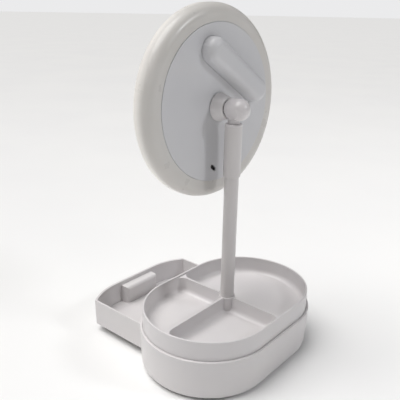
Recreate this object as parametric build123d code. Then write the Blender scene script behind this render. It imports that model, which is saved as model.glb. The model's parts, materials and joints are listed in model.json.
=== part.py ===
"""Extendable shaving mirror: lit round mirror on a telescopic pole above a tray base with a drawer.

Millimetres, +Z up. The origin is the centre of the base on the surface it stands on.
The mirror looks along -Y and the drawer opens along -Y. The model rests with the drawer
open on its stop and the sleeve part-way up the pole.
"""
import os
from math import cos, radians, sin, sqrt

from build123d import *

# ---------------------------------------------------------------- base
rim_half_x = 100.0          # half length of the tray's rim
rim_half_y = 67.5           # half width of the tray's rim, and radius of its round ends
rim_z = 64.8                # top of the tray's rim
lip_z = 44.7                # top of the bowl, where the tray drops into it
lip_width = 2.75            # ledge of the bowl outside the tray's wall
lip_round = 0.6
bowl_draft = 2.0            # degrees that the bowl's wall leans in towards the floor
bowl_fillet = 8.0           # round between the bowl's wall and its underside
bowl_underside_z = 0.8      # the foot ring stands this proud
bowl_floor = 2.6            # thickness of the bowl's floor
tray_gap = 0.3              # all round between the tray and the bowl
bowl_wall = lip_width - tray_gap

tray_wall = 2.2
tray_floor_z = 46.0
tray_floor = 2.2
tray_skirt_z = 41.4         # bottom edge of the tray's wall inside the bowl
divider_top_z = 62.5
divider_thickness = 2.8
pocket_corner = 9.0         # round corners of the compartments seen from above
pocket_floor_round = 5.5
pocket_draft = 3.0          # degrees that each compartment's wall leans out
rim_round = 0.8

foot_ring_width = 3.5
foot_ring_inset = 10.2      # from the bowl's widest outline to the foot ring
foot_groove_depth = 1.0

case_screw_inset = 19.4     # from the tray's ends to the four screws that hold it
case_screw_y = 22.0
case_post_radius = 4.0
case_post_top_z = 24.0
case_post_step = 0.4        # the tray's posts are this much thinner than the bowl's
case_screw_length = 20.0
case_screw_radius = 1.5
case_head_radius = 2.9
case_head_height = 2.0
case_seat_z = 13.0          # where each screw head seats, up inside its post
post_joint_gap = 0.1

ballast_side_gap = 5.0      # from the runner ribs to the steel plate that stops tipping
ballast_y = 84.0
ballast_corner = 8.0
ballast_thickness = 3.6

# ---------------------------------------------------------------- drawer
drawer_open = 74.6          # travel from closed to the stop
drawer_half_x = 74.5
drawer_top_z = 37.8
drawer_bottom_z = 10.5
drawer_front_bottom_z = 8.5
drawer_wall = 2.2
drawer_edge_round = 0.6
drawer_front_wall = 3.0
drawer_floor = 2.0
drawer_rear_y = 50.0        # back face when it is closed
drawer_side_gap = 0.5       # to the opening and to the guide ribs
drawer_top_gap = 0.5
drawer_run_gap = 0.2        # above the runner ribs
guide_rib = 2.0
runner_inset = 9.5          # from the drawer's side to the middle of each runner rib
guide_top_z = 20.0
stop_tab_length = 6.0
stop_tab_gap = 0.3          # left between the open drawer's tabs and the front wall
stop_tab_height = 2.8
pull_half_width = 25.0      # rounded block that holds the finger recess
pull_depth = 12.0
pull_top_drop = 4.5         # below the drawer's top edge
pull_skin = 2.2
pull_round = 4.0

# ---------------------------------------------------------------- pole and sleeve
pole_y = -1.0               # the pole stands this far in front of the middle
pole_radius = 7.2
pole_wall = 0.8
pole_bottom_z = 45.8
pole_top_z = 218.3
pole_in_sleeve = 23.3       # length of the pole inside the sleeve at rest
boss_wall = 1.2             # tray boss round the pole
boss_bottom_z = 42.2
slip = 0.05                 # running clearance of everything that slides or turns
screw_gap = 0.3             # round a screw in the hole that it passes through
embed = 1.0                 # how far a rib or a post is let into the wall that carries it
pole_plug_length = 16.0
pole_screw_radius = 2.5
pole_screw_length = 14.0
pole_washer_thickness = 1.0
pole_screw_head = 2.2
top_guide_plug = 9.0
top_guide_height = 2.7
top_guide_edge = 0.6

sleeve_wall = 0.7
sleeve_length = 52.6
bush_wall = 0.65
sleeve_lip = 1.0            # flange of the bush under the tube
sleeve_cap_flange = 2.2
sleeve_cap_chamfer = 0.9
sleeve_cap_plug = 5.8
bush_height = 8.0
bush_edge = 0.4

# ---------------------------------------------------------------- knuckle and ball
knuckle_radius = 10.45
neck_height = 3.35          # between the sleeve's cap and the knuckle
knuckle_back = 6.5          # the round back of the knuckle lies this far behind the ball
knuckle_face = 6.0          # flat front face, in front of the ball
neck_radius = 5.8
spigot_radius = 4.9
seat_bore = 7.2
seat_bore_back = 10.0
ball_radius = 6.0
ball_slip = 0.03
stud_neck_radius = 2.2
seat_front = 1.0            # the cup starts this far behind the ball's centre
seat_spring_space = 2.0
seat_spring_gap = 0.6
ring_lip = 3.3              # plane of the ring's narrowest opening
ring_lip_radius = 5.0
ring_mouth_radius = 6.2
swivel_washer_radius = 7.2
swivel_washer_thickness = 1.1
swivel_screw_radius = 2.0
swivel_screw_length = 10.2
swivel_head_radius = 4.0
swivel_head_height = 2.4

# ---------------------------------------------------------------- head
# The head's own frame: X across, Y backwards along the back's normal, Z up, with the centre
# of the rim at the origin and Y = 0 in the middle of the rim.
rest_swivel = 2.8           # degrees that the head is turned at rest
rest_pitch = 0.65           # degrees that the mirror looks down at rest
ball_behind = 34.5          # ball's centre behind the head's own origin
ball_below = 2.75           # ball's axis below the head's centre
head_radius = 93.8
head_front = -4.5
front_round = 3.1           # outer edge round the front
shoulder_round = 10.0       # outer edge round the back
ring_back_y = 14.7          # flat back of the light ring
ring_wall = 2.0
ring_lip_y = 0.5            # inner lip of the ring, beside the glass
ring_gap = 0.2              # between the light ring and the back cover
ring_front_width = 15.6     # opal face round the glass
ring_back_width = 17.4      # opal face round the back cover
back_y = 15.2
back_edge_round = 0.4
head_wall = 2.0
glass_thickness = 3.0
glass_gap = 0.4
glass_bevel = 0.4
tape_inset = 4.2            # from the glass's edge
tape_width = 14.0
tape_thickness = 0.8
frame_plate = 2.0
frame_wall = 2.0
frame_flange = 5.0          # how far the frame's rim reaches past the glass
frame_step_y = 1.9
frame_step_thickness = 1.8
led_board_inset = 3.3       # from the glass's edge to the light board
led_board_gap = 1.8         # from the light board to the ring's wall
led_board_thickness = 1.0
led_count = 60
led_size = 2.8
led_height = 0.8
head_screw_circle = 52.0
head_screw_angles = (50.0, 122.0, 194.0, 238.0, 322.0)  # clear of the battery and the board
head_screw_radius = 1.3
head_screw_length = 9.0
head_boss_radius = 3.4
head_screw_head_radius = 2.5
head_screw_head = 1.3
small_screw_edge = 0.3

cone_flare = 3.6            # from the cone's tip radius to its base radius
cone_tip_inset = 0.05       # the tip is this much smaller than the knuckle
cone_tip_round = 1.3
cone_tip_gap = 0.7          # from the knuckle's flat face plane to the cone's edge
cone_seat_gap = 0.4         # round the knuckle
cone_base_gap = 0.9         # shadow line between the cone and the head's back
cone_spigot_radius = 12.0
cone_floor = 3.0
cone_base_wall = 3.2
cone_tip_wall = 2.4
stud_flange_radius = 6.5
stud_flange = 2.0
stud_shank_radius = 3.0
stud_nut_flats = 10.0
stud_nut_height = 5.0
nut_plate_radius = 13.0
nut_plate_thickness = 1.5
nut_plate_rim = 3.0

pill_radius = 12.75         # battery housing on the back
pill_span = 74.6            # between the centres of its round ends
pill_centre_x = -18.8
pill_centre_z = 30.7
pill_slope = 33.0           # degrees; its +X end is the higher one
pill_height = 13.2
pill_draft = 4.0
pill_top_round = 7.5
pill_skin = 1.8
pill_gap = 0.4
pill_recess = 0.7
cell_radius = 9.2
cell_length = 65.0
cell_edge = 0.8
cell_behind_back = 1.7      # cell's axis behind the head's flat back
cell_cap_radius = 3.0
cell_cap_height = 1.0
contact_thickness = 0.4
contact_half = 6.0
contact_gap = 0.1

port_x = 6.8
port_z = -62.9
port_slope = 41.0
port_width = 7.7
port_height = 3.0
port_shell = 0.3
port_depth = 5.6
port_floor = 1.0
tongue_inset = 1.6          # from the socket's ends to its tongue
tongue_thickness = 0.8
tongue_root = 0.5           # let into the socket's floor
port_recess = 0.6
board_x = 26.0
board_z = 18.0
board_shift = 5.5           # board's middle above the socket, towards the head's centre
board_thickness = 1.2
board_post_radius = 2.6
board_screw_radius = 1.0
board_screw_length = 4.0
board_screw_head_radius = 1.9
board_screw_head = 1.0
touch_pad_radius = 6.0
touch_pad_z = -52.0
touch_pad_thickness = 0.3

# ---------------------------------------------------------------- derived places
end_centre = rim_half_x - rim_half_y
case_screw_x = rim_half_x - case_screw_inset
runner_x = drawer_half_x - runner_inset
ballast_x = 2 * (runner_x - guide_rib / 2 - ballast_side_gap)
sleeve_radius = pole_radius + slip + bush_wall + sleeve_wall
sleeve_bottom_z = pole_top_z - pole_in_sleeve
sleeve_top_z = sleeve_bottom_z + sleeve_length
ball_z = sleeve_top_z + neck_height + knuckle_radius
cone_tip_radius = knuckle_radius - cone_tip_inset
cone_base_radius = cone_tip_radius + cone_flare
glass_radius = head_radius - ring_front_width
back_radius = head_radius - ring_back_width
frame_step_inner = glass_radius - frame_wall
frame_step_radius = glass_radius + frame_flange
led_board_inner = glass_radius + led_board_inset
led_board_outer = head_radius - ring_wall - led_board_gap
led_circle = (led_board_inner + led_board_outer) / 2
tape_outer_radius = glass_radius - tape_inset
tape_inner_radius = tape_outer_radius - tape_width
bowl_half_y = rim_half_y + lip_width
floor_top_z = bowl_underside_z + bowl_floor
ring_opening_z = drawer_top_z + drawer_top_gap
cone_tip_y = ball_behind - knuckle_face - cone_tip_gap
cone_base_y = back_y + cone_base_gap
ledge_y = ring_back_y - ring_wall - ring_gap
pole_loc = Pos(0, pole_y, 0)
knuckle_loc = Pos(0, pole_y, ball_z) * Rot(0, 0, -rest_swivel)
ball_loc = knuckle_loc * Rot(rest_pitch, 0, 0) * Pos(0, -ball_behind, 0)
head_loc = ball_loc * Pos(0, 0, ball_below)
pill_loc = Pos(pill_centre_x, back_y, pill_centre_z) * Rot(0, -pill_slope, 0)
port_loc = Pos(port_x, back_y, port_z) * Rot(0, -port_slope, 0)
frame_back_y = head_front + glass_thickness + tape_thickness + frame_plate


def slot(half_x, half_y, z):
    """Obround face, long side along X."""
    return Pos(0, 0, z) * SlotOverall(2 * half_x, 2 * half_y)


def tube(outer, inner, low, high):
    """Upright tube, or a rod when the inner radius is 0."""
    body = Pos(0, 0, low) * extrude(Circle(outer), high - low)
    if inner:
        body -= Pos(0, 0, low) * extrude(Circle(inner), high - low)
    return body


def rod_y(radius, low, high, x=0.0, z=0.0):
    """Rod along Y."""
    return Pos(x, low, z) * Rot(-90, 0, 0) * extrude(Circle(radius), high - low)


def block(x0, x1, y0, y1, z0, z1):
    """Box between two corners."""
    return Pos((x0 + x1) / 2, (y0 + y1) / 2, (z0 + z1) / 2) * Box(x1 - x0, y1 - y0, z1 - z0)


def turned(*points):
    """Solid turned about Y from points (radius, y)."""
    return revolve(make_face(Polyline(*points, close=True)), Axis.Y)


def screw(shank_radius, length, head_radius, head_height, head_fillet=0.4):
    """Pan-head screw: head under Z = 0, shank up to Z = length, cross recess in the head."""
    head = Pos(0, 0, -head_height) * extrude(Circle(head_radius), head_height)
    head = fillet(head.edges().group_by(Axis.Z)[0], head_fillet)
    shank = extrude(Circle(shank_radius), length)
    shank = chamfer(shank.edges().group_by(Axis.Z)[-1], shank_radius / 3)
    arm = head_radius * 1.2
    slit = head_radius * 0.25
    cross = Box(arm, slit, head_height) + Box(slit, arm, head_height)
    return head + shank - Pos(0, 0, -head_height) * cross


def along_y(part):
    """Turns an upright part so that its +Z points along +Y."""
    return Rot(-90, 0, 0) * part


# ---------------------------------------------------------------- base pieces
def bowl_outline(inset):
    """The bowl's outer form, moved in by inset; shared by the bowl and the drawer's front."""
    top = slot(rim_half_x + lip_width - inset, bowl_half_y - inset, lip_z)
    low_z = bowl_underside_z + inset
    body = extrude(top, lip_z - low_z, dir=(0, 0, -1), taper=bowl_draft)
    return fillet(body.edges().group_by(Axis.Z)[0], bowl_fillet - inset)


def case_places():
    return [(sx * case_screw_x, sy * case_screw_y) for sx in (-1, 1) for sy in (-1, 1)]


def base_bowl():
    outer = bowl_outline(0)
    outer = fillet(outer.edges().group_by(Axis.Z)[-1], lip_round)
    bowl = outer - bowl_outline(bowl_wall)
    opening_x = drawer_half_x + drawer_side_gap
    bowl -= block(-opening_x, opening_x, -bowl_half_y - 5, -rim_half_y / 2,
                  drawer_front_bottom_z - drawer_run_gap, ring_opening_z)
    inside = bowl_outline(bowl_wall / 2)
    runner_z = drawer_bottom_z - drawer_run_gap
    front_y = -wall_inner_y(drawer_half_x) + 2 * drawer_front_wall
    rear_y = drawer_rear_y - drawer_wall
    for side in (-1, 1):
        rib_x = side * (opening_x + guide_rib / 2)
        rib = block(rib_x - guide_rib / 2, rib_x + guide_rib / 2, front_y, rear_y,
                    bowl_underside_z + embed, guide_top_z)
        mid_x = side * runner_x
        runner = block(mid_x - guide_rib / 2, mid_x + guide_rib / 2, front_y, rear_y,
                       bowl_underside_z + embed, runner_z)
        bowl += rib & inside
        bowl += runner & inside
    for x, y in case_places():
        bowl += Pos(x, y, 0) * tube(case_post_radius, 0, bowl_underside_z + embed, case_post_top_z)
    for x, y in case_places():
        bowl -= Pos(x, y, 0) * tube(case_screw_radius + screw_gap, 0, 0, case_post_top_z + 1)
        bowl -= Pos(x, y, 0) * tube(case_head_radius + screw_gap, 0, 0, case_seat_z)
    bowl -= foot_form(bowl_underside_z + foot_groove_depth)
    return bowl


def foot_form(top_z):
    outer_x = rim_half_x + lip_width - foot_ring_inset
    outer_y = bowl_half_y - foot_ring_inset
    ring = slot(outer_x, outer_y, 0) - slot(outer_x - foot_ring_width, outer_y - foot_ring_width, 0)
    return extrude(ring, top_z, dir=(0, 0, 1))


def wall_inner_y(x):
    """Half width of the bowl's inner face, level with its lip, at a place along X."""
    radius = bowl_half_y - bowl_wall
    along = max(0.0, abs(x) - end_centre)
    return sqrt(radius ** 2 - along ** 2)


def foot_ring():
    return foot_form(bowl_underside_z + foot_groove_depth)


def ballast_plate():
    plate = extrude(RectangleRounded(ballast_x, ballast_y, ballast_corner), ballast_thickness)
    return Pos(0, 0, floor_top_z) * plate


def pocket(x0, x1, y0, y1):
    """One compartment of the tray, to be cut away."""
    inner = slot(rim_half_x - tray_wall, rim_half_y - tray_wall, 0)
    plan = inner & Pos((x0 + x1) / 2, (y0 + y1) / 2) * Rectangle(x1 - x0, y1 - y0)
    plan = plan.faces()[0]
    corners = [v for v in plan.vertices()
               if min(abs(v.X - x0), abs(v.X - x1), abs(v.Y - y0), abs(v.Y - y1)) < 0.01]
    plan = fillet(corners, pocket_corner)
    body = extrude(Pos(0, 0, divider_top_z) * plan, divider_top_z - tray_floor_z,
                   dir=(0, 0, -1), taper=pocket_draft)
    return fillet(body.edges().group_by(Axis.Z)[0], pocket_floor_round)


def tray():
    body = extrude(slot(rim_half_x, rim_half_y, tray_skirt_z), rim_z - tray_skirt_z)
    rim_cut = slot(rim_half_x - tray_wall, rim_half_y - tray_wall, divider_top_z)
    body -= extrude(rim_cut, rim_z - divider_top_z)
    under = slot(rim_half_x - tray_wall, rim_half_y - tray_wall, tray_skirt_z)
    body -= extrude(under, tray_floor_z - tray_floor - tray_skirt_z)
    far_x = rim_half_x + 1
    far_y = rim_half_y + 1
    half = divider_thickness / 2
    body -= pocket(-far_x, -half, -far_y, far_y)
    body -= pocket(half, far_x, -far_y, pole_y - half)
    body -= pocket(half, far_x, pole_y + half, far_y)
    boss = pole_radius + slip + boss_wall
    body += pole_loc * tube(boss, 0, boss_bottom_z, divider_top_z)
    body -= pole_loc * tube(pole_radius + slip, 0, pole_bottom_z, rim_z)
    body -= pole_loc * tube(pole_screw_radius + screw_gap, 0, boss_bottom_z - 1, rim_z)
    for x, y in case_places():
        post = Pos(x, y, 0) * tube(case_post_radius - case_post_step, 0, case_post_top_z + post_joint_gap,
                                   tray_floor_z - tray_floor)
        hole = Pos(x, y, 0) * tube(case_screw_radius, 0, case_post_top_z,
                                   case_seat_z + case_screw_length + 2)
        body += post - hole
    rim_edges = body.edges().filter_by_position(Axis.Z, rim_z - 0.01, rim_z + 0.01)
    return fillet(rim_edges, rim_round)


def case_screws():
    one = screw(case_screw_radius, case_screw_length, case_head_radius, case_head_height)
    return [Pos(x, y, case_seat_z) * one for x, y in case_places()]


# ---------------------------------------------------------------- drawer piece
def drawer():
    form = bowl_outline(0)
    hollow = bowl_outline(drawer_front_wall)
    reach = bowl_half_y + 1
    body = form & block(-drawer_half_x, drawer_half_x, -reach, drawer_rear_y,
                        drawer_front_bottom_z, drawer_top_z)
    body -= hollow & block(-reach, reach, -reach, reach, 0, drawer_bottom_z)
    inner_x = drawer_half_x - drawer_wall
    room = block(-inner_x, inner_x, -reach, drawer_rear_y - drawer_wall,
                 drawer_bottom_z + drawer_floor, drawer_top_z + 1)
    body -= hollow & room
    top_edges = body.edges().filter_by_position(Axis.Z, drawer_top_z - 0.01, drawer_top_z + 0.01)
    body = fillet(top_edges, drawer_edge_round)
    pull_top = drawer_top_z - pull_top_drop
    front_y = -bowl_half_y + drawer_front_wall
    lump = block(-pull_half_width, pull_half_width, front_y - embed, front_y + pull_depth,
                 drawer_bottom_z + embed, pull_top)
    back_edges = lump.edges().filter_by_position(Axis.Y, front_y + pull_depth - 0.01,
                                                 front_y + pull_depth + 0.01)
    upright = back_edges.filter_by(Axis.Z)
    level = back_edges.filter_by(Axis.X).group_by(Axis.Z)[-1]
    lump = fillet(upright + level, pull_round)
    body += lump & bowl_outline(drawer_front_wall / 2)
    recess = block(-pull_half_width + pull_skin, pull_half_width - pull_skin, -reach,
                   front_y + pull_depth - pull_skin,
                   drawer_bottom_z + drawer_floor + 2, pull_top - pull_skin)
    recess = fillet(recess.edges().filter_by(Axis.Y), pull_round - 1)
    body -= recess
    tab_front = -wall_inner_y(drawer_half_x) + drawer_open + stop_tab_gap
    for side in (-1, 1):
        x_out = side * drawer_half_x
        x_in = side * inner_x
        body += block(min(x_out, x_in), max(x_out, x_in), tab_front, tab_front + stop_tab_length,
                      drawer_top_z - embed, drawer_top_z + stop_tab_height)
    return Pos(0, -drawer_open, 0) * body


# ---------------------------------------------------------------- pole pieces
def lower_pole():
    pole = tube(pole_radius, pole_radius - pole_wall, pole_bottom_z, pole_top_z)
    return pole_loc * pole


def pole_plug():
    bore = pole_radius - pole_wall - slip
    plug = tube(bore, pole_screw_radius + slip, pole_bottom_z, pole_bottom_z + pole_plug_length)
    return pole_loc * plug


def pole_washer():
    washer = tube(pole_radius, pole_screw_radius + screw_gap,
                  boss_bottom_z - pole_washer_thickness, boss_bottom_z)
    return pole_loc * washer


def pole_screw():
    fastener = screw(pole_screw_radius, pole_screw_length, pole_radius - 2, pole_screw_head)
    return pole_loc * Pos(0, 0, boss_bottom_z - pole_washer_thickness) * fastener


def pole_top_guide():
    flange = tube(sleeve_radius - sleeve_wall - slip, 0, pole_top_z, pole_top_z + top_guide_height)
    flange = chamfer(flange.edges().group_by(Axis.Z)[-1], top_guide_edge)
    plug = tube(pole_radius - pole_wall - slip, 0, pole_top_z - top_guide_plug, pole_top_z)
    return pole_loc * (flange + plug)


def sleeve_tube():
    low = sleeve_bottom_z + sleeve_lip
    high = sleeve_top_z - sleeve_cap_flange
    return pole_loc * tube(sleeve_radius, sleeve_radius - sleeve_wall, low, high)


def sleeve_bush():
    lip = tube(sleeve_radius, pole_radius + slip, sleeve_bottom_z, sleeve_bottom_z + sleeve_lip)
    outer_low = lip.edges().group_by(Axis.Z)[0].sort_by(SortBy.RADIUS)[-1]
    lip = chamfer(outer_low, bush_edge)
    body = tube(sleeve_radius - sleeve_wall - slip, pole_radius + slip,
                sleeve_bottom_z + sleeve_lip, sleeve_bottom_z + sleeve_lip + bush_height)
    return pole_loc * (lip + body)


def sleeve_cap():
    low = sleeve_top_z - sleeve_cap_flange
    flange = tube(sleeve_radius, spigot_radius + slip, low, sleeve_top_z)
    outer_top = flange.edges().group_by(Axis.Z)[-1].sort_by(SortBy.RADIUS)[-1]
    flange = chamfer(outer_top, sleeve_cap_chamfer)
    plug = tube(sleeve_radius - sleeve_wall - slip, spigot_radius + slip,
                low - sleeve_cap_plug, low)
    return pole_loc * (flange + plug)


# ---------------------------------------------------------------- knuckle pieces
def spigot_bottom_z():
    return sleeve_top_z - sleeve_cap_flange - sleeve_cap_plug - 0.1


def knuckle_housing():
    dome = Sphere(knuckle_radius) + rod_y(knuckle_radius, 0, knuckle_back)
    dome += Pos(0, knuckle_back, 0) * Sphere(knuckle_radius)
    top = sleeve_top_z + 0.1 - ball_z
    neck = tube(neck_radius, 0, top, -knuckle_radius / 2)
    spigot = tube(spigot_radius, 0, spigot_bottom_z() - ball_z, top)
    body = dome + neck + spigot
    reach = 2 * knuckle_radius
    body -= block(-reach, reach, -reach, -knuckle_face, -knuckle_radius, reach)
    body -= rod_y(seat_bore, -reach, seat_bore_back)
    hole_top = spigot_bottom_z() - ball_z + swivel_screw_length
    body -= tube(swivel_screw_radius + slip, 0, spigot_bottom_z() - ball_z - 1, hole_top)
    return knuckle_loc * body


def ball_seat_cup():
    back = seat_bore_back - seat_spring_space
    cup = rod_y(seat_bore - slip, seat_front, back) - Sphere(ball_radius + ball_slip)
    return knuckle_loc * cup


def seat_spring_washer():
    washer = rod_y(seat_bore - seat_spring_gap, seat_bore_back - seat_spring_space, seat_bore_back)
    washer -= rod_y(seat_bore / 2, 0, seat_bore_back + 1)
    return knuckle_loc * washer


def ball_retaining_ring():
    ring = turned((ring_lip_radius, -ring_lip), (seat_bore - slip, -ring_lip),
                  (seat_bore - slip, -knuckle_face), (ring_mouth_radius, -knuckle_face))
    ring += rod_y(seat_bore - slip, -ring_lip, 0)
    ring -= Sphere(ball_radius + ball_slip)
    return knuckle_loc * ring


def swivel_washer():
    top = spigot_bottom_z()
    washer = tube(swivel_washer_radius, swivel_screw_radius + screw_gap,
                  top - swivel_washer_thickness, top)
    return pole_loc * washer


def swivel_screw():
    fastener = screw(swivel_screw_radius, swivel_screw_length, swivel_head_radius,
                     swivel_head_height)
    return pole_loc * Pos(0, 0, spigot_bottom_z() - swivel_washer_thickness) * fastener


# ---------------------------------------------------------------- head pieces
def ball_stud():
    """Ball, neck, clamping flange and threaded shank, drawn about the ball's own axis."""
    seat_y = cone_base_y + cone_floor
    stud = Pos(0, ball_behind, 0) * Sphere(ball_radius)
    stud += rod_y(stud_neck_radius, seat_y, ball_behind)
    stud += rod_y(stud_flange_radius, seat_y, seat_y + stud_flange)
    shank_end = back_y - head_wall - nut_plate_thickness - stud_nut_height - 1
    stud += rod_y(stud_shank_radius, shank_end, seat_y)
    return ball_loc * stud


def socket_cone():
    cone = turned((0, cone_base_y), (cone_base_radius, cone_base_y),
                  (cone_tip_radius, cone_tip_y), (0, cone_tip_y))
    cone = fillet(cone.edges().group_by(Axis.Y)[-1], cone_tip_round)
    cone += rod_y(cone_spigot_radius, back_y, cone_base_y)
    inner_base = cone_base_y + cone_floor
    cone -= turned((0, inner_base), (cone_base_radius - cone_base_wall, inner_base),
                   (cone_tip_radius - cone_tip_wall, cone_tip_y), (0, cone_tip_y))
    cone -= Pos(0, ball_behind, 0) * Sphere(knuckle_radius + cone_seat_gap)
    cone -= rod_y(stud_shank_radius + slip, 0, inner_base)
    return ball_loc * cone


def stud_nut_plate():
    inside = back_y - head_wall
    plate = rod_y(nut_plate_radius, inside - nut_plate_thickness, inside)
    plate -= rod_y(stud_shank_radius + slip, 0, back_y)
    return ball_loc * plate


def stud_nut():
    top = back_y - head_wall - nut_plate_thickness
    nut = extrude(RegularPolygon(stud_nut_flats / 2, 6, major_radius=False), stud_nut_height)
    nut -= extrude(Circle(stud_shank_radius + slip), stud_nut_height)
    return ball_loc * Pos(0, top - stud_nut_height, 0) * along_y(nut)


def light_ring():
    """Opal ring: flat front round the glass, round outer edges, flat back, hollow for the lights."""
    inner = glass_radius + glass_gap
    hole = back_radius + ring_gap
    wall_r = head_radius - ring_wall
    front = head_front + ring_wall
    back = ring_back_y - ring_wall
    face = make_face(Polyline(
        (inner, head_front), (head_radius, head_front), (head_radius, ring_back_y),
        (hole, ring_back_y), (hole, back), (wall_r, back), (wall_r, front),
        (inner + ring_wall, front), (inner + ring_wall, ring_lip_y), (inner, ring_lip_y),
        close=True))
    rounds = (
        (head_radius, head_front, front_round), (wall_r, front, front_round - ring_wall),
        (head_radius, ring_back_y, shoulder_round), (wall_r, back, shoulder_round - ring_wall),
    )
    for x, y, radius in rounds:
        corner = face.vertices().sort_by_distance((x, y, 0))[0]
        face = fillet(corner, radius)
    return head_loc * revolve(face, Axis.Y)


def mirror_glass():
    glass = rod_y(glass_radius, head_front, head_front + glass_thickness)
    return head_loc * chamfer(glass.edges(), glass_bevel)


def mirror_tape():
    low = head_front + glass_thickness
    tape = rod_y(tape_outer_radius, low, low + tape_thickness)
    tape -= rod_y(tape_inner_radius, low, low + tape_thickness)
    return head_loc * tape


def head_screw_places():
    """Places (x, z) of the screws that join the frame to the back cover."""
    return [(head_screw_circle * cos(radians(a)), head_screw_circle * sin(radians(a)))
            for a in head_screw_angles]


def inner_frame():
    """Plate that carries the glass in front and the light board on its rim."""
    front = frame_back_y - frame_plate
    plate = turned((0, front), (glass_radius, front), (glass_radius, frame_step_y),
                   (frame_step_radius, frame_step_y),
                   (frame_step_radius, frame_step_y + frame_step_thickness),
                   (frame_step_inner, frame_step_y + frame_step_thickness),
                   (frame_step_inner, frame_back_y), (0, frame_back_y))
    for x, z in head_screw_places():
        plate -= rod_y(head_screw_radius + screw_gap, front - 1, back_y, x, z)
        plate -= rod_y(head_screw_head_radius + screw_gap, front - 1, front + head_screw_head, x, z)
    return head_loc * plate


def head_screws():
    seat = frame_back_y - frame_plate + head_screw_head
    one = screw(head_screw_radius, head_screw_length, head_screw_head_radius, head_screw_head,
                small_screw_edge)
    parts = []
    for x, z in head_screw_places():
        parts.append(head_loc * Pos(x, seat, z) * along_y(one))
    return parts


def led_board():
    low = frame_step_y - led_board_thickness
    board = rod_y(led_board_outer, low, frame_step_y) - rod_y(led_board_inner, low, frame_step_y)
    return head_loc * board


def led_chips():
    face_y = frame_step_y - led_board_thickness
    chips = []
    for place in PolarLocations(led_circle, led_count):
        x, z = place.position.X, place.position.Y
        turn = place.orientation.Z
        chip = Box(led_size, led_height, led_size)
        chips.append(head_loc * Pos(x, face_y - led_height / 2, z) * Rot(0, -turn, 0) * chip)
    return chips


def pill_face(radius):
    """Obround face in the plane of the head's back, looking along +Y."""
    return Rot(-90, 0, 0) * SlotCenterToCenter(pill_span, 2 * radius)


def pill_form(radius, low, high):
    """Straight obround block between two distances behind the head's back."""
    return pill_loc * Pos(0, low, 0) * extrude(pill_face(radius), high - low, dir=(0, 1, 0))


def back_cover():
    """Back shell with a ledge under the light ring, screw bosses and the housing's opening."""
    corner = frame_step_radius - ring_gap
    low = frame_step_y + frame_step_thickness
    inside_y = back_y - head_wall
    face = make_face(Polyline(
        (0, back_y), (back_radius, back_y), (back_radius, ledge_y), (corner, ledge_y),
        (corner, low), (corner - head_wall, low), (corner - head_wall, ledge_y - head_wall),
        (back_radius - head_wall, ledge_y - head_wall), (back_radius - head_wall, inside_y),
        (0, inside_y), close=True))
    edge = face.vertices().sort_by_distance((back_radius, back_y, 0))[0]
    face = fillet(edge, back_edge_round)
    shell = revolve(face, Axis.Y)
    for x, z in head_screw_places():
        shell += rod_y(head_boss_radius, frame_back_y, inside_y + embed / 2, x, z)
        shell -= rod_y(head_screw_radius, frame_back_y - 1, frame_back_y + head_screw_length, x, z)
    shell += rod_y(nut_plate_radius + nut_plate_rim, inside_y - embed, inside_y, 0, -ball_below)
    shell -= rod_y(nut_plate_radius + screw_gap, 0, inside_y, 0, -ball_below)
    shell -= rod_y(stud_shank_radius + slip, 0, back_y + 1, 0, -ball_below)
    shell -= pill_form(pill_radius + pill_gap, -pill_recess, 1)
    shell -= pill_form(pill_radius - pill_skin, -back_y, 1)
    slot_plan = SlotOverall(port_width + 2 * port_recess, port_height + 2 * port_recess)
    shell -= port_loc * Pos(0, -back_y / 2, 0) * extrude(Rot(-90, 0, 0) * slot_plan, back_y,
                                                        dir=(0, 1, 0))
    for x, z in board_screw_places():
        shell += port_loc * rod_y(board_post_radius, board_front() - back_y + board_thickness,
                                  -head_wall + embed / 2, x, z)
        shell -= port_loc * rod_y(board_screw_radius, -back_y, -head_wall, x, z)
    return head_loc * shell


def battery_cover():
    dome = extrude(pill_loc * Pos(0, -pill_recess, 0) * pill_face(pill_radius),
                   pill_height + pill_recess, dir=(0, 1, 0), taper=pill_draft)
    dome = fillet(dome.edges().group_by(Axis.Y)[-1], pill_top_round)
    room_radius = pill_radius - pill_skin
    room = extrude(pill_loc * Pos(0, -pill_recess, 0) * pill_face(room_radius),
                   pill_height + pill_recess - pill_skin, dir=(0, 1, 0), taper=pill_draft)
    room = fillet(room.edges().group_by(Axis.Y)[-1], pill_top_round - pill_skin)
    return head_loc * (dome - room)


def cell_axis():
    """Frame of the cell: its axis along local X, at its place in the battery housing."""
    return head_loc * pill_loc * Pos(0, cell_behind_back, 0)


def battery_cell():
    can = Pos(-cell_length / 2, 0, 0) * Rot(0, 90, 0) * extrude(Circle(cell_radius), cell_length)
    can = chamfer(can.edges(), cell_edge)
    cap = Pos(cell_length / 2, 0, 0) * Rot(0, 90, 0) * extrude(Circle(cell_cap_radius),
                                                               cell_cap_height)
    return cell_axis() * (can + cap)


def battery_contacts():
    """Sprung plate at the can's flat end and plain plate at its cap end."""
    flat_x = -cell_length / 2 - contact_gap - contact_thickness
    cap_x = cell_length / 2 + cell_cap_height + contact_gap
    plates = []
    for x in (flat_x, cap_x):
        plates.append(cell_axis() * block(x, x + contact_thickness, -contact_half, contact_half,
                                          -contact_half, contact_half))
    return plates


def board_front():
    """Distance of the driver board's front face in the head's frame."""
    return back_y - port_recess - port_depth - board_thickness


def board_screw_places():
    from_end = board_post_radius + 1
    z = board_shift + from_end
    return [(-board_x / 2 + from_end, z), (board_x / 2 - from_end, z)]


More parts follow.
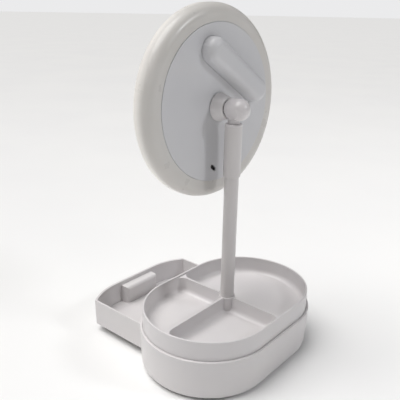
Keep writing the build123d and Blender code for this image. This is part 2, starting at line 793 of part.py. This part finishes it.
def driver_board():
    front = board_front() - back_y
    board = block(-board_x / 2, board_x / 2, front, front + board_thickness,
                  board_shift - board_z / 2, board_shift + board_z / 2)
    for x, z in board_screw_places():
        board -= rod_y(board_screw_radius + screw_gap, front - 1, front + board_thickness + 1, x, z)
    return head_loc * port_loc * board


def board_screws():
    one = screw(board_screw_radius, board_screw_length, board_screw_head_radius,
                board_screw_head, small_screw_edge)
    front = board_front() - back_y
    return [head_loc * port_loc * Pos(x, front, z) * along_y(one)
            for x, z in board_screw_places()]


def charging_socket():
    low = board_front() + board_thickness - back_y
    outer = SlotOverall(port_width, port_height)
    inner = SlotOverall(port_width - 2 * port_shell, port_height - 2 * port_shell)
    shell = extrude(Rot(-90, 0, 0) * outer, port_depth, dir=(0, 1, 0))
    shell -= Pos(0, port_floor, 0) * extrude(Rot(-90, 0, 0) * inner, port_depth, dir=(0, 1, 0))
    half_x = port_width / 2 - tongue_inset
    half_z = tongue_thickness / 2
    tongue = block(-half_x, half_x, tongue_root, port_depth - port_floor, -half_z, half_z)
    return head_loc * port_loc * Pos(0, low, 0) * (shell + tongue)


def touch_pad():
    low = head_front + glass_thickness
    pad = rod_y(touch_pad_radius, low, low + touch_pad_thickness, 0, touch_pad_z)
    return head_loc * pad


PIECES = (
    base_bowl, foot_ring, ballast_plate, tray, case_screws, drawer,
    lower_pole, pole_plug, pole_washer, pole_screw, pole_top_guide,
    sleeve_tube, sleeve_bush, sleeve_cap,
    knuckle_housing, ball_seat_cup, seat_spring_washer, ball_retaining_ring, swivel_washer,
    swivel_screw, ball_stud, socket_cone, stud_nut_plate, stud_nut,
    light_ring, mirror_glass, mirror_tape, inner_frame, head_screws, led_board, led_chips,
    back_cover, battery_cover, battery_cell, battery_contacts, driver_board, board_screws,
    charging_socket, touch_pad,
)

os.makedirs("parts", exist_ok=True)
for make in PIECES:
    made = make()
    solids = made if isinstance(made, list) else [made]
    shape = Compound(children=solids) if len(solids) > 1 else solids[0]
    export_step(shape, f"parts/{make.__name__}.step")
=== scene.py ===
import json
import math

import bpy
import numpy as np
from bpy.props import FloatProperty, FloatVectorProperty, PointerProperty
from mathutils import Matrix, Vector


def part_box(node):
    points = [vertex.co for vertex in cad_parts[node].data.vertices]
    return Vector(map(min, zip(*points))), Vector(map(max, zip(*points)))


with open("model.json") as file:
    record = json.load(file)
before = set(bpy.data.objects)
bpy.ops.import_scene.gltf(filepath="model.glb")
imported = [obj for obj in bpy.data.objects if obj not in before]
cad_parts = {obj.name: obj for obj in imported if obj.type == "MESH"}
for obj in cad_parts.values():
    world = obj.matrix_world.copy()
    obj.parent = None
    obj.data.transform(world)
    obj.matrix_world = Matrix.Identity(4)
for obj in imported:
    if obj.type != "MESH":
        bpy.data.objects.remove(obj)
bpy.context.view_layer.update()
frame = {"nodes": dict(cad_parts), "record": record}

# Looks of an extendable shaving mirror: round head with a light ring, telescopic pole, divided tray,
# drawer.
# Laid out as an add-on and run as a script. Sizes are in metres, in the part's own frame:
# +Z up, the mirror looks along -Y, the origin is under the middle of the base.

bl_info = {
    "name": "Shaving Mirror",
    "version": (1, 0, 0),
    "blender": (4, 5, 0),
    "location": "View3D > Sidebar > Mirror",
    "description": "Finishes an extendable shaving mirror and sets up its studio",
    "category": "Object",
}

NODES = frame["nodes"]
RECORD = frame["record"]

GLASS_MIDDLE = 0.003                # from the glass's middle back to the rim's middle plane
RING_PAINTED_GLOW = 0.22                   # strength of the painted glow on the opal ring's front, standing in for light falling on its rim
RING_PAINTED_GLOW_FADE = (-0.001, 0.0085)        # depth over which that painted glow fades
GLASS_EDGE = (-0.0044, -0.0038)     # depth over which the glass turns from face to green edge
SENSOR = 36.0
LENS_SHIFT = (0.0083, -0.0068)
AIR = 0.09                          # light from all round
BACKDROP = 0.84                     # what the camera sees behind the floor
AIM = Vector((0.0, 0.0, 0.2))       # point that every panel faces


# ---------------------------------------------------------------- settings
class MirrorColours(bpy.types.PropertyGroup):
    """Colours of the finishes, linear."""
    case: FloatVectorProperty(
        name="Case", description="Satin moulded plastic of the base and the drawer",
        subtype="COLOR", size=3, min=0, max=1, default=(0.71, 0.688, 0.688))
    back: FloatVectorProperty(
        name="Back", description="Satin moulded plastic of the head's back",
        subtype="COLOR", size=3, min=0, max=1, default=(0.61, 0.61, 0.625))
    pole: FloatVectorProperty(
        name="Pole", description="Satin powder coat of the pole and its sleeve",
        subtype="COLOR", size=3, min=0, max=1, default=(0.64, 0.615, 0.61))
    knuckle: FloatVectorProperty(
        name="Knuckle", description="Glossier plastic of the knuckle and the sleeve's cap",
        subtype="COLOR", size=3, min=0, max=1, default=(0.66, 0.635, 0.64))
    opal: FloatVectorProperty(
        name="Opal ring", description="Diffusing plastic round the glass",
        subtype="COLOR", size=3, min=0, max=1, default=(0.63, 0.612, 0.59))
    # Colour of the lights' own lamp glow and of the opal ring's painted glow.
    lamp_and_painted_glow: FloatVectorProperty(
        name="Glow", description="Light that the opal ring gives",
        subtype="COLOR", size=3, min=0, max=1, default=(1.0, 0.97, 0.92))


class MirrorStudio(bpy.types.PropertyGroup):
    """Camera, floor and lights."""
    eye: FloatVectorProperty(
        name="Camera place", description="Where the camera stands",
        subtype="TRANSLATION", unit="LENGTH", size=3, default=(0.4165, 0.3045, 0.3504))
    heading: FloatProperty(
        name="Heading", description="Direction of view, clockwise from +Y seen from above",
        subtype="ANGLE", default=math.radians(-130.06))
    dip: FloatProperty(
        name="Dip", description="How far the camera looks down",
        subtype="ANGLE", default=math.radians(19.08))
    roll: FloatProperty(
        name="Roll", description="Lean of the camera about its own line of sight",
        subtype="ANGLE", default=math.radians(1.03))
    lens: FloatProperty(
        name="Lens", description="Focal length in millimetres on a 36 mm sensor",
        min=10, max=200, default=48.9)
    floor_radius: FloatProperty(
        name="Floor radius", description="How far the studio floor reaches",
        subtype="DISTANCE", unit="LENGTH", default=40.0)


# ---------------------------------------------------------------- material building
class Shade:
    """Short way to wire a principled material from Object coordinates."""

    def __init__(self, name):
        self.material = bpy.data.materials.new(name)
        self.material.use_nodes = True
        self.nodes = self.material.node_tree.nodes
        self.links = self.material.node_tree.links
        self.shader = self.nodes["Principled BSDF"]
        self.place = self.nodes.new("ShaderNodeTexCoord").outputs["Object"]
        self.normal = None

    def set(self, **values):
        for key, value in values.items():
            self.shader.inputs[key.replace("_", " ")].default_value = value

    def join(self, source, target):
        self.links.new(source, target)

    def stretched(self, scale):
        """Object coordinates with a different scale on each axis."""
        mapping = self.nodes.new("ShaderNodeMapping")
        mapping.inputs["Scale"].default_value = scale
        self.join(self.place, mapping.inputs["Vector"])
        return mapping.outputs["Vector"]

    def noise(self, scale, detail=3.0, roughness=0.5, place=None):
        node = self.nodes.new("ShaderNodeTexNoise")
        node.inputs["Scale"].default_value = scale
        node.inputs["Detail"].default_value = detail
        node.inputs["Roughness"].default_value = roughness
        self.join(place or self.place, node.inputs["Vector"])
        return node.outputs["Fac"]

    def cells(self, scale):
        node = self.nodes.new("ShaderNodeTexVoronoi")
        node.inputs["Scale"].default_value = scale
        self.join(self.place, node.inputs["Vector"])
        return node.outputs["Distance"]

    def span(self, value, low, high, out_low=0.0, out_high=1.0, smooth=True):
        """Maps a value from one range to another, clamped."""
        node = self.nodes.new("ShaderNodeMapRange")
        node.interpolation_type = "SMOOTHSTEP" if smooth else "LINEAR"
        node.inputs["From Min"].default_value = low
        node.inputs["From Max"].default_value = high
        node.inputs["To Min"].default_value = out_low
        node.inputs["To Max"].default_value = out_high
        self.join(value, node.inputs["Value"])
        return node.outputs["Result"]

    def math(self, how, a, b):
        node = self.nodes.new("ShaderNodeMath")
        node.operation = how
        for socket, value in zip(node.inputs, (a, b)):
            if isinstance(value, (int, float)):
                socket.default_value = value
            else:
                self.join(value, socket)
        return node.outputs[0]

    def along(self, direction, origin):
        """Distance along a direction from a point, in metres."""
        shift = self.nodes.new("ShaderNodeVectorMath")
        shift.operation = "SUBTRACT"
        self.join(self.place, shift.inputs[0])
        shift.inputs[1].default_value = origin
        dot = self.nodes.new("ShaderNodeVectorMath")
        dot.operation = "DOT_PRODUCT"
        self.join(shift.outputs[0], dot.inputs[0])
        dot.inputs[1].default_value = direction
        return dot.outputs["Value"]

    def blend(self, factor, first, second):
        """Mix of two colours by a factor."""
        node = self.nodes.new("ShaderNodeMix")
        node.data_type = "RGBA"
        self.join(factor, node.inputs["Factor"])
        for socket, value in ((node.inputs["A"], first), (node.inputs["B"], second)):
            if isinstance(value, tuple):
                socket.default_value = (*value, 1.0)
            else:
                self.join(value, socket)
        return node.outputs["Result"]

    def colour(self, source):
        self.join(source, self.shader.inputs["Base Color"])

    def rough(self, source):
        self.join(source, self.shader.inputs["Roughness"])

    def bump(self, height, distance, strength=1.0):
        """Adds a bump of a real height in metres on top of the last one."""
        node = self.nodes.new("ShaderNodeBump")
        node.inputs["Strength"].default_value = strength
        node.inputs["Distance"].default_value = distance
        self.join(height, node.inputs["Height"])
        if self.normal:
            self.join(self.normal, node.inputs["Normal"])
        self.normal = node.outputs["Normal"]
        self.join(self.normal, self.shader.inputs["Normal"])


def tinted(colour, amount):
    return tuple(min(1.0, c * k) for c, k in zip(colour, amount))


def moulded(name, colour, roughness, scuffs=0.3):
    """Satin moulded plastic: faint flow clouds, spark-eroded grain, fine scuffs and fingerprints."""
    s = Shade(name)
    s.set(IOR=1.53, Specular_IOR_Level=0.5)
    clouds = s.noise(14.0, 3.0, 0.55)
    flow = s.noise(9.0, 2.0, 0.6, s.stretched((1.0, 1.0, 3.2)))
    base = s.blend(s.span(clouds, 0.35, 0.68), tinted(colour, (0.975, 0.975, 0.985)), colour)
    base = s.blend(s.span(flow, 0.52, 0.8, 0.0, 0.35), base, tinted(colour, (1.03, 1.015, 0.995)))
    specks = s.cells(900.0)
    base = s.blend(s.span(specks, 0.06, 0.035, 0.0, 0.10), base, tinted(colour, (0.80, 0.78, 0.75)))
    s.colour(base)
    prints = s.noise(55.0, 5.0, 0.65)
    s.rough(s.span(prints, 0.35, 0.72, roughness - 0.05, roughness + 0.09))
    s.bump(s.noise(2600.0, 2.0, 0.6), 0.000012)
    s.bump(s.noise(95.0, 2.0, 0.4), 0.00004)
    scratches = s.noise(420.0, 3.0, 0.7, s.stretched((1.0, 0.05, 1.0)))
    s.bump(s.span(scratches, 0.66, 0.72), 0.000004 * scuffs / 0.3)
    return s.material


def opal(name, colour, lamp_and_painted_glow):
    """Diffusing plastic with a soft depth and a faint painted glow from inside, strongest at the
    front and fading to the back, standing in for light falling on the rim.
    """
    s = Shade(name)
    s.set(Subsurface_Weight=0.35, Subsurface_Scale=0.004, IOR=1.49)
    s.shader.inputs["Subsurface Radius"].default_value = (1.0, 0.95, 0.9)
    clouds = s.noise(22.0, 2.0)
    s.colour(s.blend(s.span(clouds, 0.3, 0.7), tinted(colour, (0.975, 0.975, 0.97)), colour))
    s.rough(s.span(s.noise(40.0, 4.0, 0.6), 0.3, 0.7, 0.26, 0.38))
    s.bump(s.noise(1800.0, 2.0), 0.00001)
    origin, normal = head_frame()
    depth = s.along(tuple(normal), tuple(origin))
    # Painted glow: emission strength 1 at the ring's front, falling to 0.02 towards the back, in
    # faint patches, standing in for light on the rim.
    painted_glow_fade = s.span(depth, *RING_PAINTED_GLOW_FADE, 1.0, 0.02)
    painted_glow_patches = s.span(s.noise(60.0, 1.0), 0.2, 0.8, 0.93, 1.0)
    strength = s.math("MULTIPLY", s.math("MULTIPLY", painted_glow_fade, painted_glow_patches), RING_PAINTED_GLOW)
    s.shader.inputs["Emission Color"].default_value = (*lamp_and_painted_glow, 1.0)
    s.join(strength, s.shader.inputs["Emission Strength"])
    return s.material


def powder_coat(name, colour):
    """Satin coat on steel tube: fine orange peel under a thin clear gloss."""
    s = Shade(name)
    s.set(Coat_Weight=0.25, Coat_Roughness=0.18, IOR=1.5)
    clouds = s.noise(30.0, 3.0, 0.6, s.stretched((1.0, 1.0, 0.3)))
    s.colour(s.blend(s.span(clouds, 0.3, 0.7), tinted(colour, (0.965, 0.965, 0.97)), colour))
    s.rough(s.span(s.noise(70.0, 4.0, 0.6), 0.3, 0.7, 0.28, 0.40))
    s.bump(s.noise(1500.0, 2.0, 0.5), 0.00002)
    rubbed = s.noise(500.0, 3.0, 0.7, s.stretched((1.0, 1.0, 0.03)))
    s.bump(s.span(rubbed, 0.64, 0.7), 0.000004)
    return s.material


def silvered(name):
    """Silvered glass: near-perfect mirror with a green edge and faint smears."""
    s = Shade(name)
    s.set(Metallic=1.0, Coat_Weight=1.0, Coat_Roughness=0.01)
    origin, normal = head_frame()
    smear = s.noise(26.0, 6.0, 0.62, s.stretched((1.0, 1.0, 0.35)))
    s.rough(s.span(smear, 0.46, 0.8, 0.015, 0.075))
    tint = s.blend(s.span(s.noise(8.0, 2.0), 0.3, 0.7), (0.90, 0.925, 0.92), (0.93, 0.945, 0.945))
    depth = s.along(tuple(normal), tuple(origin))
    s.colour(s.blend(s.span(depth, *GLASS_EDGE), tint, (0.52, 0.66, 0.60)))
    s.bump(s.noise(12.0, 1.0), 0.00002)
    return s.material


def zinc(name, colour, roughness=0.3):
    """Plated steel: cloudy passivation, turning marks and small pits."""
    s = Shade(name)
    s.set(Metallic=1.0)
    clouds = s.noise(160.0, 4.0, 0.6)
    s.colour(s.blend(s.span(clouds, 0.3, 0.7), tinted(colour, (0.86, 0.87, 0.9)), colour))
    s.rough(s.span(s.noise(260.0, 4.0, 0.6), 0.3, 0.7, roughness - 0.08, roughness + 0.14))
    s.bump(s.noise(3000.0, 2.0, 0.6), 0.000008)
    return s.material


def rubber(name, colour):
    """Soft rubber with a dry bloom and dust in its fine grain."""
    s = Shade(name)
    s.set(IOR=1.5, Sheen_Weight=0.2, Sheen_Roughness=0.5)
    dust = s.noise(120.0, 5.0, 0.65)
    s.colour(s.blend(s.span(dust, 0.5, 0.75, 0.0, 0.5), colour, tinted(colour, (1.9, 1.85, 1.8))))
    s.rough(s.span(s.noise(300.0, 3.0), 0.3, 0.7, 0.62, 0.82))
    s.bump(s.noise(2200.0, 2.0, 0.6), 0.00003)
    return s.material


def nylon(name, colour):
    """Unpainted nylon: waxy depth and flow marks."""
    s = Shade(name)
    s.set(Subsurface_Weight=0.2, Subsurface_Scale=0.002, IOR=1.53)
    clouds = s.noise(120.0, 3.0)
    s.colour(s.blend(s.span(clouds, 0.3, 0.7), tinted(colour, (0.93, 0.92, 0.88)), colour))
    s.rough(s.span(s.noise(400.0, 3.0), 0.3, 0.7, 0.38, 0.52))
    s.bump(s.noise(2400.0, 2.0), 0.00001)
    return s.material


def circuit(name, colour, track):
    """Solder mask over tracks: straight bands of a slightly lighter colour with a low relief."""
    s = Shade(name)
    s.set(IOR=1.55, Coat_Weight=0.4, Coat_Roughness=0.15)
    bands = s.noise(700.0, 0.0, 0.5, s.stretched((0.08, 1.0, 1.0)))
    rows = s.noise(700.0, 0.0, 0.5, s.stretched((1.0, 1.0, 0.08)))
    mask = s.span(s.math("MAXIMUM", bands, rows), 0.56, 0.60)
    s.colour(s.blend(mask, colour, track))
    s.rough(s.span(s.noise(500.0, 3.0), 0.3, 0.7, 0.30, 0.42))
    s.bump(mask, 0.00003)
    return s.material


def foam(name, colour):
    """Closed-cell foam tape, with painted shade darkening its pores."""
    s = Shade(name)
    pores = s.cells(1500.0)
    # Painted shade: the colour darkens towards the middle of each cell, where the bump sinks the
    # pore.
    s.colour(s.blend(s.span(pores, 0.1, 0.5), tinted(colour, (0.6, 0.6, 0.6)), colour))
    s.rough(s.span(pores, 0.0, 0.6, 0.75, 0.92))
    s.bump(pores, 0.00015)
    return s.material


def phosphor(name, lamp_and_painted_glow):
    """Yellow phosphor of the lights in a white cup."""
    s = Shade(name)
    grain = s.noise(2500.0, 3.0)
    s.colour(s.blend(s.span(grain, 0.3, 0.7), (0.82, 0.62, 0.18), (0.9, 0.78, 0.35)))
    s.rough(s.span(grain, 0.3, 0.7, 0.3, 0.5))
    s.bump(grain, 0.00003)
    s.shader.inputs["Emission Color"].default_value = (*lamp_and_painted_glow, 1.0)
    s.shader.inputs["Emission Strength"].default_value = 1.5
    return s.material


def wrapped(name, colour):
    """Shrink wrap round a cell: shallow wrinkles with painted shade in their troughs, and a gloss.
    """
    s = Shade(name)
    s.set(Coat_Weight=0.5, Coat_Roughness=0.1, IOR=1.5)
    folds = s.noise(220.0, 3.0, 0.6, s.stretched((0.3, 1.0, 1.0)))
    # Painted shade: the colour darkens where the folds are low, in the troughs that the bump sinks.
    s.colour(s.blend(s.span(folds, 0.35, 0.7), tinted(colour, (0.85, 0.85, 0.9)), colour))
    s.rough(s.span(folds, 0.3, 0.7, 0.22, 0.38))
    s.bump(folds, 0.00008)
    return s.material


FINISHES = {
    "case_white": lambda c: moulded("case_white", tuple(c.case), 0.36),
    "back_white": lambda c: moulded("back_white", tuple(c.back), 0.38),
    "socket_black": lambda c: nylon("socket_black", (0.012, 0.012, 0.013)),
    "pole_white": lambda c: powder_coat("pole_white", tuple(c.pole)),
    "knuckle_white": lambda c: moulded("knuckle_white", tuple(c.knuckle), 0.25, 0.15),
    "opal": lambda c: opal("opal", tuple(c.opal), tuple(c.lamp_and_painted_glow)),
    "mirror": lambda c: silvered("mirror"),
    "rubber_grey": lambda c: rubber("rubber_grey", (0.10, 0.10, 0.105)),
    "nylon": lambda c: nylon("nylon", (0.78, 0.76, 0.68)),
    "steel": lambda c: zinc("steel", (0.62, 0.62, 0.64)),
    "stud_steel": lambda c: zinc("stud_steel", (0.72, 0.72, 0.73), 0.15),
    "tape": lambda c: foam("tape", (0.035, 0.035, 0.037)),
    "board_green": lambda c: circuit("board_green", (0.01, 0.11, 0.045), (0.02, 0.19, 0.08)),
    "board_white": lambda c: circuit("board_white", (0.78, 0.78, 0.75), (0.86, 0.86, 0.84)),
    "led": lambda c: phosphor("led", tuple(c.lamp_and_painted_glow)),
    "cell_wrap": lambda c: wrapped("cell_wrap", (0.03, 0.10, 0.30)),
    "contact": lambda c: zinc("contact", (0.70, 0.69, 0.66), 0.2),
    "socket_steel": lambda c: zinc("socket_steel", (0.60, 0.60, 0.61), 0.25),
    "copper": lambda c: zinc("copper", (0.72, 0.42, 0.28), 0.25),
}


OWN_FINISH = {"back_cover": "back_white", "battery_cover": "back_white",
              "charging_socket": "socket_black"}


def finish_of(slot):
    """The finish of a material slot, made once."""
    made = bpy.data.materials.get("finish_" + slot)
    if made is None:
        made = FINISHES[slot](bpy.context.scene.mirror_colours)
        made.name = "finish_" + slot
    return made


def dress(*names):
    """Gives each named part of the frame the finish of its slot."""
    slots = {entry["node"]: entry["material_slot"] for entry in RECORD["subparts"]} | OWN_FINISH
    for name in names:
        mesh = NODES[name].data
        mesh.materials.clear()
        mesh.materials.append(finish_of(slots[name]))


def head_frame():
    """Middle of the head's rim plane and the back's normal, read from the record."""
    port = next(m for m in RECORD["mounts"] if m["name"] == "charging_port")
    normal = Vector(port["axis"]).normalized()
    low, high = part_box("mirror_glass")
    front = (low + high) / 2
    return front + normal * GLASS_MIDDLE, normal


# ---------------------------------------------------------------- operators
class BuildOperator:
    bl_options = {"REGISTER", "UNDO"}


class OBJECT_OT_mirror_base(BuildOperator, bpy.types.Operator):
    """Finish the bowl, the tray, the foot ring and their screws"""
    bl_idname = "object.mirror_base"
    bl_label = "Base"

    def execute(self, context):
        dress("base_bowl", "tray", "foot_ring", "ballast_plate", "case_screws")
        return {"FINISHED"}


class OBJECT_OT_mirror_drawer(BuildOperator, bpy.types.Operator):
    """Finish the drawer"""
    bl_idname = "object.mirror_drawer"
    bl_label = "Drawer"

    def execute(self, context):
        dress("drawer")
        return {"FINISHED"}


class OBJECT_OT_mirror_pole(BuildOperator, bpy.types.Operator):
    """Finish the pole, its sleeve and what fastens them"""
    bl_idname = "object.mirror_pole"
    bl_label = "Pole and Sleeve"

    def execute(self, context):
        dress("lower_pole", "pole_plug", "pole_washer", "pole_screw", "pole_top_guide",
              "sleeve_tube", "sleeve_bush", "sleeve_cap")
        return {"FINISHED"}


class OBJECT_OT_mirror_knuckle(BuildOperator, bpy.types.Operator):
    """Finish the knuckle and the ball joint inside it"""
    bl_idname = "object.mirror_knuckle"
    bl_label = "Knuckle"

    def execute(self, context):
        dress("knuckle_housing", "ball_seat_cup", "seat_spring_washer", "ball_retaining_ring",
              "swivel_washer", "swivel_screw", "ball_stud", "socket_cone", "stud_nut_plate",
              "stud_nut")
        return {"FINISHED"}


class OBJECT_OT_mirror_head(BuildOperator, bpy.types.Operator):
    """Finish the head's shells, its glass and its light ring"""
    bl_idname = "object.mirror_head"
    bl_label = "Head"

    def execute(self, context):
        dress("light_ring", "mirror_glass", "mirror_tape", "inner_frame", "head_screws",
              "back_cover", "battery_cover")
        return {"FINISHED"}


class OBJECT_OT_mirror_electrics(BuildOperator, bpy.types.Operator):
    """Finish the cell, the boards, the lights and the socket"""
    bl_idname = "object.mirror_electrics"
    bl_label = "Electrics"

    def execute(self, context):
        dress("led_board", "led_chips", "battery_cell", "battery_contacts", "driver_board",
              "board_screws", "charging_socket", "touch_pad")
        return {"FINISHED"}


def surface(name, points):
    """Mesh from a grid of points (rows, columns, 3) whose last column joins the first."""
    rows, columns = points.shape[:2]
    index = np.arange(rows * columns).reshape(rows, columns)
    index = np.concatenate([index, index[:, :1]], axis=1)
    corners = (index[:-1, :-1], index[1:, :-1], index[1:, 1:], index[:-1, 1:])
    faces = np.stack(corners, axis=-1).reshape(-1, 4)
    mesh = bpy.data.meshes.new(name)
    mesh.from_pydata(points.reshape(-1, 3).tolist(), [], faces.tolist())
    mesh.shade_smooth()
    piece = bpy.data.objects.new(name, mesh)
    bpy.context.scene.collection.objects.link(piece)
    return piece


class OBJECT_OT_mirror_stage(BuildOperator, bpy.types.Operator):
    """Make the floor, the lights and the camera"""
    bl_idname = "object.mirror_stage"
    bl_label = "Stage"

    def execute(self, context):
        studio = context.scene.mirror_studio
        make_floor(studio)
        make_lights(context.scene)
        make_camera(context.scene, studio)
        return {"FINISHED"}


def make_floor(studio):
    """Flat disc: rings whose radius grows by the same factor, each carried round the middle."""
    radius = np.geomspace(0.02, studio.floor_radius, 32)[:, None]
    turn = np.linspace(0.0, 2 * math.pi, 96, endpoint=False)
    points = np.stack([radius * np.cos(turn), radius * np.sin(turn),
                       np.zeros((len(radius), len(turn)))], axis=-1)
    points[0, :, :2] = 0.0
    floor = surface("studio_floor", points)
    s = Shade("floor_paint")
    grain = s.noise(3.0, 3.0)
    s.colour(s.blend(s.span(grain, 0.3, 0.7), (0.88, 0.88, 0.88), (0.895, 0.895, 0.89)))
    s.rough(s.span(s.noise(8.0, 3.0), 0.3, 0.7, 0.8, 0.95))
    s.bump(s.noise(180.0, 2.0), 0.00005)
    floor.data.materials.append(s.material)


def make_lights(scene):
    """A soft sun from the mirror's side, panels overhead, left and behind, and a pale backdrop."""
    world = bpy.data.worlds.new("studio_air")
    world.use_nodes = True
    tree = world.node_tree
    air = tree.nodes["Background"]
    air.inputs["Color"].default_value = (0.99, 0.99, 1.0, 1.0)
    ray = tree.nodes.new("ShaderNodeLightPath")
    seen = tree.nodes.new("ShaderNodeMapRange")
    seen.inputs["To Min"].default_value = AIR
    seen.inputs["To Max"].default_value = BACKDROP
    tree.links.new(ray.outputs["Is Camera Ray"], seen.inputs["Value"])
    tree.links.new(seen.outputs["Result"], air.inputs["Strength"])
    scene.world = world
    sun = bpy.data.lights.new("soft_sun", "SUN")
    sun.energy = 2.8
    sun.angle = math.radians(50)
    sun.color = (1.0, 0.99, 0.98)
    holder = bpy.data.objects.new("soft_sun", sun)
    holder.rotation_euler = Vector((-0.28, 0.32, -1.0)).to_track_quat("-Z", "Y").to_euler()
    scene.collection.objects.link(holder)
    panels = (
        ("top_panel", (0.1, 0.1, 1.9), 1.6, 2.0, (1.0, 1.0, 1.0)),
        ("left_panel", (1.3, -0.9, 0.9), 0.8, 2.0, (1.0, 0.985, 0.96)),
        ("rear_panel", (-0.55, 1.25, 1.05), 0.3, 5.5, (0.97, 0.98, 1.0)),
    )
    for name, place, side, power, colour in panels:
        light = bpy.data.lights.new(name, "AREA")
        light.shape = "DISK"
        light.size = side
        light.energy = power
        light.color = colour
        holder = bpy.data.objects.new(name, light)
        holder.location = place
        aim = AIM - Vector(place)
        holder.rotation_euler = aim.to_track_quat("-Z", "Y").to_euler()
        scene.collection.objects.link(holder)


def make_camera(scene, studio):
    camera = bpy.data.cameras.new("camera")
    camera.sensor_width = SENSOR
    camera.lens = studio.lens
    camera.shift_x, camera.shift_y = LENS_SHIFT
    camera.clip_start = 0.01
    heading, dip = studio.heading, studio.dip
    ahead = Vector((math.sin(heading) * math.cos(dip), math.cos(heading) * math.cos(dip),
                    -math.sin(dip)))
    right = Vector((math.cos(heading), -math.sin(heading), 0.0))
    up = right.cross(ahead)
    lean_right = right * math.cos(studio.roll) + up * math.sin(studio.roll)
    lean_up = up * math.cos(studio.roll) - right * math.sin(studio.roll)
    turn = Matrix((lean_right, lean_up, -ahead)).transposed()
    holder = bpy.data.objects.new("camera", camera)
    holder.matrix_world = Matrix.Translation(studio.eye) @ turn.to_4x4()
    scene.collection.objects.link(holder)
    scene.camera = holder
    scene.view_settings.view_transform = "Standard"
    scene.view_settings.look = "None"


class VIEW3D_PT_mirror(bpy.types.Panel):
    """Lists the steps that build the mirror"""
    bl_idname = "VIEW3D_PT_mirror"
    bl_label = "Shaving Mirror"
    bl_space_type = "VIEW_3D"
    bl_region_type = "UI"
    bl_category = "Mirror"

    def draw(self, context):
        layout = self.layout
        for group in (context.scene.mirror_colours, context.scene.mirror_studio):
            box = layout.box()
            for key in group.bl_rna.properties.keys():
                if key not in ("rna_type", "name"):
                    box.prop(group, key)
        for step in STEPS:
            layout.operator(step.bl_idname)


STEPS = (
    OBJECT_OT_mirror_stage, OBJECT_OT_mirror_base, OBJECT_OT_mirror_drawer, OBJECT_OT_mirror_pole,
    OBJECT_OT_mirror_knuckle, OBJECT_OT_mirror_head, OBJECT_OT_mirror_electrics,
)
GROUPS = {"mirror_colours": MirrorColours, "mirror_studio": MirrorStudio}


def register():
    for name, group in GROUPS.items():
        bpy.utils.register_class(group)
        setattr(bpy.types.Scene, name, PointerProperty(type=group))
    for cls in (*STEPS, VIEW3D_PT_mirror):
        bpy.utils.register_class(cls)


def unregister():
    for cls in (VIEW3D_PT_mirror, *reversed(STEPS)):
        bpy.utils.unregister_class(cls)
    for name, group in GROUPS.items():
        delattr(bpy.types.Scene, name)
        bpy.utils.unregister_class(group)


def main():
    register()
    for step in STEPS:
        family, action = step.bl_idname.split(".")
        getattr(getattr(bpy.ops, family), action)()


if __name__ == "__main__":
    main()
